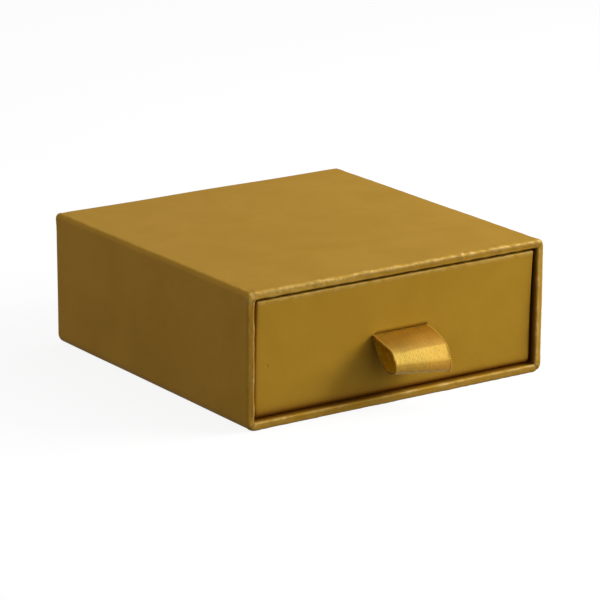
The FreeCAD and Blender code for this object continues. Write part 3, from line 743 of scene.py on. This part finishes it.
def satin_weave(group, given):
    """Group: warp threads that float over four picks and dive under the fifth, two apart."""
    place = put(group, "ShaderNodeSeparateXYZ", {"Vector": given["Vector"]}).outputs
    across, along = (times(group, axis, given["Threads across"]) for axis in place[:2])
    thread = reckon(group, "FLOOR", across)
    crown = reckon(group, "SINE", times(group, reckon(group, "FRACT", across), math.pi))
    shifted = reckon(group, "MULTIPLY_ADD", thread, 2.0, times(group, along, 0.8))
    part = reckon(group, "FRACT", reckon(group, "DIVIDE", shifted, 5.0))
    over = times(group, spread(group, part, 0, 0.12, 0.15, 1), spread(group, part, 0.86, 1, 1, 0.15))
    tone = put(group, "ShaderNodeTexWhiteNoise", {"W": thread}, noise_dimensions="1D").outputs[0]
    from_middle = reckon(group, "ABSOLUTE", reckon(group, "SUBTRACT", place[0], 0.5))
    return {
        "Height": times(group, reckon(group, "POWER", crown, 0.6), over),
        "Thread tone": tone, "Selvedge": spread(group, from_middle, 0.462, 0.476, 0, 1)}


# What fills each node group, and its inputs beside the place
GROUPS = {
    "Paper grain": (paper_grain, {
        "Fibres per metre": 5000.0, "Clouds per metre": 70.0, "Specks per metre": 160.0}),
    "Fold wear": (fold_wear_and_painted_light, {}),
    "Satin weave": (satin_weave, {"Threads across": 32.0}),
}


def new_material(name):
    """A material with a Principled BSDF, its tree and that node."""
    material = bpy.data.materials.new(name)
    material.use_nodes = True
    tree = material.node_tree
    return material, tree, tree.nodes["Principled BSDF"]


def gold_paper(finish):
    """Pearly gold paper: grain, cloudy sheen, specks, fold seams, folds worn lighter with a highlight
    painted along them, and shade painted in the gaps, on the rim's face and inside the mouth.
    """
    material, tree, shader = new_material("gold_paper_cover")
    place = object_place(tree)
    grain = grouped(tree, "Paper grain", place, {"Clouds per metre": 60.0})
    wear_and_painted_light = grouped(tree, "Fold wear", place)
    rough = spread(tree, grain["Cloud"], 0, 1, 0.38, 0.48)
    height = reckon(tree, "MULTIPLY_ADD", grain["Speck"], -1.5, grain["Grain"])
    height = reckon(tree, "MULTIPLY_ADD", grain["Cloud"], 0.8, height)
    feed(tree, shader, {
        "Base Color": layered(
            tree, finish.gold,
            (spread(tree, grain["Cloud"], 0, 1, 0.0, 0.45), finish.gold_deep),
            (spread(tree, grain["Grain"], 0.35, 0.65, 0.25, 0.0), finish.gold_deep),
            # Light gold on worn folds and as a painted highlight along the rim
            (times(tree, wear_and_painted_light["Rubbed"], 0.75), finish.gold_worn_and_painted_highlight),
            (times(tree, wear_and_painted_light["Seam"], 0.7), finish.gold_dark_and_painted_shade),
            # Dark gold as painted shade in the gaps, on the rim's face and inside the mouth
            (wear_and_painted_light["Dull"], finish.gold_dark_and_painted_shade),
            (times(tree, grain["Speck"], 0.25), finish.gold_dark_and_painted_shade)),
        "Roughness": reckon(tree, "MULTIPLY_ADD", grain["Grain"], 0.12, rough),
        "Coat Weight": reckon(tree, "MULTIPLY_ADD", wear_and_painted_light["Rubbed"], 0.22, 0.09),
        "Coat Roughness": 0.35, "Metallic": 0.08, "Specular IOR Level": 0.0,
        "Normal": relief(tree, height, 0.05)})
    return material


def plain_paper(name, base, darker, fibres, depth, mix=0.5):
    """Uncoated paper or board: a tone and a darker share of it, mixed by clouds and fibres.

    Its specks are darker again."""
    material, tree, shader = new_material(name)
    other = [darker * part for part in base]
    grain = grouped(tree, "Paper grain", object_place(tree), {
        "Fibres per metre": fibres, "Specks per metre": fibres / 12})
    feed(tree, shader, {
        "Base Color": layered(
            tree, base, (spread(tree, grain["Cloud"], 0, 1, 0, mix), other),
            (spread(tree, grain["Grain"], 0.4, 0.7, 0, mix), other),
            (times(tree, grain["Speck"], 0.6), [0.4 * part for part in other])),
        "Roughness": spread(tree, grain["Grain"], 0.3, 0.7, 0.75, 0.92),
        "Specular IOR Level": 0.25, "Normal": relief(tree, grain["Grain"], depth)})
    return material


def satin(finish, reverse=False):
    """Gold satin: floats of warp that shine, and a duller selvedge; its reverse is matt, with its
    colour painted lighter to stand for the light inside the ribbon's loop.
    """
    material, tree, shader = new_material("satin_ribbon_reverse" if reverse else "satin_ribbon_weave")
    # The reverse face's colour is painted light, standing for the light inside the ribbon's loop
    face, deep = finish.satin_reverse_painted_light if reverse else finish.satin, finish.satin_deep
    uneven, gaps, metallic, index = (0.2, 0.25, 0.0, 1.2) if reverse else (0.45, 0.65, 0.2, 1.58)
    weave = grouped(tree, "Satin weave", put(tree, "ShaderNodeUVMap", uv_map="weave").outputs[0])
    patches = noise(tree, object_place(tree), 330.0, Detail=3.0)
    rough = spread(tree, weave["Height"], 0, 1, 0.56, 0.46)
    feed(tree, shader, {
        "Base Color": layered(
            tree, face, (spread(tree, weave["Thread tone"], 0, 1, 0.0, uneven), deep),
            (spread(tree, weave["Height"], 0.0, 0.75, gaps, 0.0), deep),
            (spread(tree, patches, 0.35, 0.65, 0.0, 0.3), deep)),
        "Roughness": reckon(tree, "MULTIPLY_ADD", weave["Selvedge"], 0.12, rough),
        "Metallic": metallic, "IOR": index, "Specular IOR Level": 1.0,
        "Specular Tint": (1.0, 1.0, 0.2, 1.0), "Subsurface Weight": 1.0,
        "Subsurface Radius": (1.0, 0.7, 0.12), "Subsurface Scale": 2.2 * MM,
        "Normal": relief(tree, weave["Height"], 0.022)})
    return material


def thread_finish(finish):
    """Twisted thread: a bright tone and the satin's deep one, mixed by fine noise."""
    material, tree, shader = new_material("edge_thread_twist")
    broken = noise(tree, object_place(tree), 6000.0, Detail=2.0)
    feed(tree, shader, {
        "Base Color": layered(tree, finish.thread, (
            spread(tree, broken, 0.35, 0.65, 0.0, 0.6), finish.satin_deep)),
        "Roughness": spread(tree, broken, 0.3, 0.7, 0.3, 0.5), "Specular IOR Level": 0.1,
        "Normal": relief(tree, broken, 0.02)})
    return material


# Operators, one for each piece or group of like pieces


class GIFTBOX_OT_sleeve_paper(bpy.types.Operator):
    """Wrap the sleeve in its gold sheet, wrinkled along the rim"""
    bl_idname = "giftbox.sleeve_paper"
    bl_label = "Sleeve paper"

    def execute(self, context):
        sizes = context.scene.giftbox_sleeve
        points, values = sleeve_surface(sizes)
        faces = quads(*points.shape[:2], True).reshape(-1, 4).tolist()
        paper = gold_paper(context.scene.giftbox_finish)
        piece = new_piece("sleeve_paper", points, faces, "sleeve", paper, values)
        thicken(piece, sizes.paper)
        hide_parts("sleeve_wrap")
        return {"FINISHED"}


class GIFTBOX_OT_drawer_paper(bpy.types.Operator):
    """Wrap the drawer in its gold sheet, with the ribbon's slit through its front"""
    bl_idname = "giftbox.drawer_paper"
    bl_label = "Drawer paper"

    def execute(self, context):
        sizes = context.scene.giftbox_drawer
        points, values = drawer_surface(sizes)
        kept = slice(points.shape[1] - 1, None)
        values = {label: numbers.ravel()[kept] for label, numbers in values.items()}
        finish = context.scene.giftbox_finish
        paper = bpy.data.materials.get("gold_paper_cover") or gold_paper(finish)
        piece = new_piece("drawer_paper", points.reshape(-1, 3)[kept], open_slit(points, sizes),
                          "drawer", paper, values)
        thicken(piece, context.scene.giftbox_sleeve.paper)
        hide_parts("drawer_wrap")
        return {"FINISHED"}


class GIFTBOX_OT_ribbon(bpy.types.Operator):
    """Thread the satin ribbon's loop through the slit and wind the threads along its edges"""
    bl_idname = "giftbox.ribbon"
    bl_label = "Ribbon pull"

    def execute(self, context):
        sizes = context.scene.giftbox_ribbon
        finish = context.scene.giftbox_finish
        points, normals, run = ribbon_surface(sizes)
        rows, columns = points.shape[:2]
        faces = quads(rows, columns, False).reshape(-1, 4)[:, ::-1].tolist()
        piece = new_piece("ribbon_strip", points, faces, "drawer", satin(finish))
        weave = np.stack(np.broadcast_arrays(
            packed(0, 1, columns, 0.5)[None, :],
            np.linspace(0, run / sizes.width, rows)[:, None]), axis=-1).reshape(-1, 2)
        corners = np.zeros(len(piece.data.loops), np.int32)
        piece.data.loops.foreach_get("vertex_index", corners)
        piece.data.uv_layers.new(name="weave").data.foreach_set("uv", weave[corners].ravel())
        piece.data.materials.append(satin(finish, True))
        thicken(piece, sizes.thickness, 0.0)
        piece.modifiers["Thickness"].material_offset = 1
        tubes, tube_faces = edge_threads(points, normals, sizes)
        threads = new_piece("ribbon_edge_threads", tubes, tube_faces, "drawer",
                            thread_finish(finish))
        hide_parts("ribbon_pull")
        return {"FINISHED"}


class GIFTBOX_OT_boards_and_linings(bpy.types.Operator):
    """Give the boards, tapes, linings and end paper their finishes"""
    bl_idname = "giftbox.boards_and_linings"
    bl_label = "Boards and linings"

    def execute(self, context):
        finish = context.scene.giftbox_finish
        lining = plain_paper("ivory_lining", finish.ivory, 0.88, 4200.0, 0.025)
        by_ending = {
            "_board": plain_paper("greyboard_core", finish.greyboard, 0.7, 2600.0, 0.06, 0.6),
            "_tapes": plain_paper("kraft_tape_gummed", finish.kraft, 0.75, 3600.0, 0.03),
            "_lining": lining, "_patch": lining,
            "_back_paper": bpy.data.materials.get("gold_paper_cover") or gold_paper(finish)}
        for name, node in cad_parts.items():
            for ending, material in by_ending.items():
                if name.endswith(ending):
                    node.data.materials.clear()
                    node.data.materials.append(material)
        return {"FINISHED"}


class GIFTBOX_OT_studio(bpy.types.Operator):
    """Set up the pale floor, the soft lamps, the white surroundings and the camera"""
    bl_idname = "giftbox.studio"
    bl_label = "Studio"

    def execute(self, context):
        studio = context.scene.giftbox_studio
        low, high = CAD_BOX
        middle = (low + high) / 2
        middle.y = 0.0
        make_camera(context.scene, studio, middle)
        make_floor(studio)
        make_surroundings(context.scene, studio)
        for name, way_off, size, light in LAMPS:
            add_lamp(name, middle, Vector(way_off), size, getattr(studio, name), light)
        context.scene.view_settings.view_transform = "Standard"
        return {"FINISHED"}


# Studio

WHITE = (1.0, 1.0, 1.0)

# Each lamp's name, its place from the box's middle and its size, in metres, and its colour
LAMPS = [("key", (0.443, -0.265, 0.268), 0.32, WHITE), ("soft", (0.28, -0.79, 0.26), 0.9, WHITE),
         ("top", (0.38, 0.15, 0.8), 0.6, WHITE), ("fill", (-0.8, 0.5, 0.3), 0.6, (1.0, 0.9, 0.97))]


def make_camera(scene, studio, middle):
    """The camera on a ray from the box's middle, aimed a little off it and rolled."""
    turn, rise, roll = studio.azimuth, studio.elevation, studio.roll
    back = Vector((math.sin(turn) * math.cos(rise), -math.cos(turn) * math.cos(rise), math.sin(rise)))
    level = Vector((math.cos(turn), math.sin(turn), 0.0))
    above = back.cross(level)
    right = level * math.cos(roll) + above * math.sin(roll)
    up = above * math.cos(roll) - level * math.sin(roll)
    aim = middle + right * studio.aim_across + up * studio.aim_up
    camera = add_object("Camera", bpy.data.cameras.new("Camera"))
    camera.data.lens = studio.focus
    camera.data.clip_start = 0.05
    camera.data.clip_end = 20.0
    axes = Matrix((right, up, back)).transposed().to_4x4()
    camera.matrix_world = Matrix.Translation(aim + back * studio.distance) @ axes
    scene.camera = camera


def seen_directly(tree):
    """One for a ray from the camera or one that mirrors or glass send on, else nothing."""
    path = put(tree, "ShaderNodeLightPath").outputs
    shown = reckon(tree, "MAXIMUM", path["Is Camera Ray"], path["Is Glossy Ray"])
    return reckon(tree, "MAXIMUM", shown, path["Is Transmission Ray"])


def make_floor(studio):
    """A round floor: white where it is seen but for the box's shadow, and duller to the box."""
    sides, radii = 96, np.array([0.3, 0.8, 1.8, 4.0])[:, None]
    turns = np.linspace(0, 2 * math.pi, sides, endpoint=False)
    rings = np.stack(np.broadcast_arrays(radii * np.cos(turns), radii * np.sin(turns), 0.0), axis=-1)
    points = np.concatenate([np.zeros((1, 3)), rings.reshape(-1, 3)])
    faces = (quads(len(radii), sides, True).reshape(-1, 4)[:, ::-1] + 1).tolist()
    first = np.arange(sides) + 1
    faces += np.stack([0 * first, first, np.roll(first, -1)], axis=-1).tolist()
    mesh = bpy.data.meshes.new("Floor")
    mesh.from_pydata(points.tolist(), [], faces)
    floor = add_object("Floor", mesh)
    material, tree, shader = new_material("studio_floor")
    tree.nodes.remove(shader)
    mottle = noise(tree, object_place(tree), 3.0)
    dull = put(tree, "ShaderNodeBsdfDiffuse", {
        "Color": layered(tree, (0.15, 0.147, 0.142), (mottle, (0.17, 0.167, 0.162)))})
    pale = put(tree, "ShaderNodeBsdfDiffuse", {"Color": (0.13, 0.13, 0.13, 1.0)})
    glow = put(tree, "ShaderNodeEmission", {"Strength": studio.glow})
    shown = put(tree, "ShaderNodeAddShader", {0: pale.outputs[0], 1: glow.outputs[0]})
    both = put(tree, "ShaderNodeMixShader", {
        0: seen_directly(tree), 1: dull.outputs[0], 2: shown.outputs[0]})
    feed(tree, tree.nodes["Material Output"], {"Surface": both.outputs[0]})
    mesh.materials.append(material)


def make_surroundings(scene, studio):
    """A world that is white where it is seen or mirrored, and only lights the box a little."""
    world = bpy.data.worlds.new("Studio")
    scene.world = world
    world.use_nodes = True
    tree = world.node_tree
    strength = spread(tree, seen_directly(tree), 0, 1, studio.room, 1)
    feed(tree, tree.nodes["Background"], {"Color": (*WHITE, 1.0), "Strength": strength})


def add_lamp(name, target, way_off, size, strength, light):
    """A square soft lamp that faces the target from this far off."""
    lamp = bpy.data.lights.new(f"{name.capitalize()} lamp", "AREA")
    lamp.color = light
    lamp.size = size
    lamp.energy = strength
    holder = add_object(lamp.name, lamp)
    holder.location = target + way_off
    holder.rotation_euler = way_off.to_track_quat("Z", "Y").to_euler()


# Panel and registration


STEPS = (GIFTBOX_OT_sleeve_paper, GIFTBOX_OT_drawer_paper, GIFTBOX_OT_ribbon,
         GIFTBOX_OT_boards_and_linings, GIFTBOX_OT_studio)
SETTINGS = {"sleeve": SleeveSettings, "drawer": DrawerSettings, "ribbon": RibbonSettings,
            "finish": FinishSettings, "studio": StudioSettings}


class GIFTBOX_PT_sidebar(bpy.types.Panel):
    """Gift box settings and steps"""
    bl_idname = "GIFTBOX_PT_sidebar"
    bl_label = "Drawer gift box"
    bl_space_type = "VIEW_3D"
    bl_region_type = "UI"
    bl_category = "Gift Box"

    def draw(self, context):
        for step in STEPS:
            self.layout.operator(step.bl_idname)
        for label, kind in SETTINGS.items():
            box = self.layout.box()
            box.label(text=label.capitalize())
            for name in kind.__annotations__:
                box.prop(getattr(context.scene, f"giftbox_{label}"), name)


def register():
    for kind in (*SETTINGS.values(), *STEPS, GIFTBOX_PT_sidebar):
        bpy.utils.register_class(kind)
    for label, kind in SETTINGS.items():
        setattr(bpy.types.Scene, f"giftbox_{label}", bpy.props.PointerProperty(type=kind))


def unregister():
    for label in SETTINGS:
        delattr(bpy.types.Scene, f"giftbox_{label}")
    for kind in reversed((*SETTINGS.values(), *STEPS, GIFTBOX_PT_sidebar)):
        bpy.utils.unregister_class(kind)


def main():
    """Make every piece in order."""
    register()
    for step in STEPS:
        name = step.bl_idname.split(".")[1]
        getattr(bpy.ops.giftbox, name)()


if __name__ == "__main__":
    main()
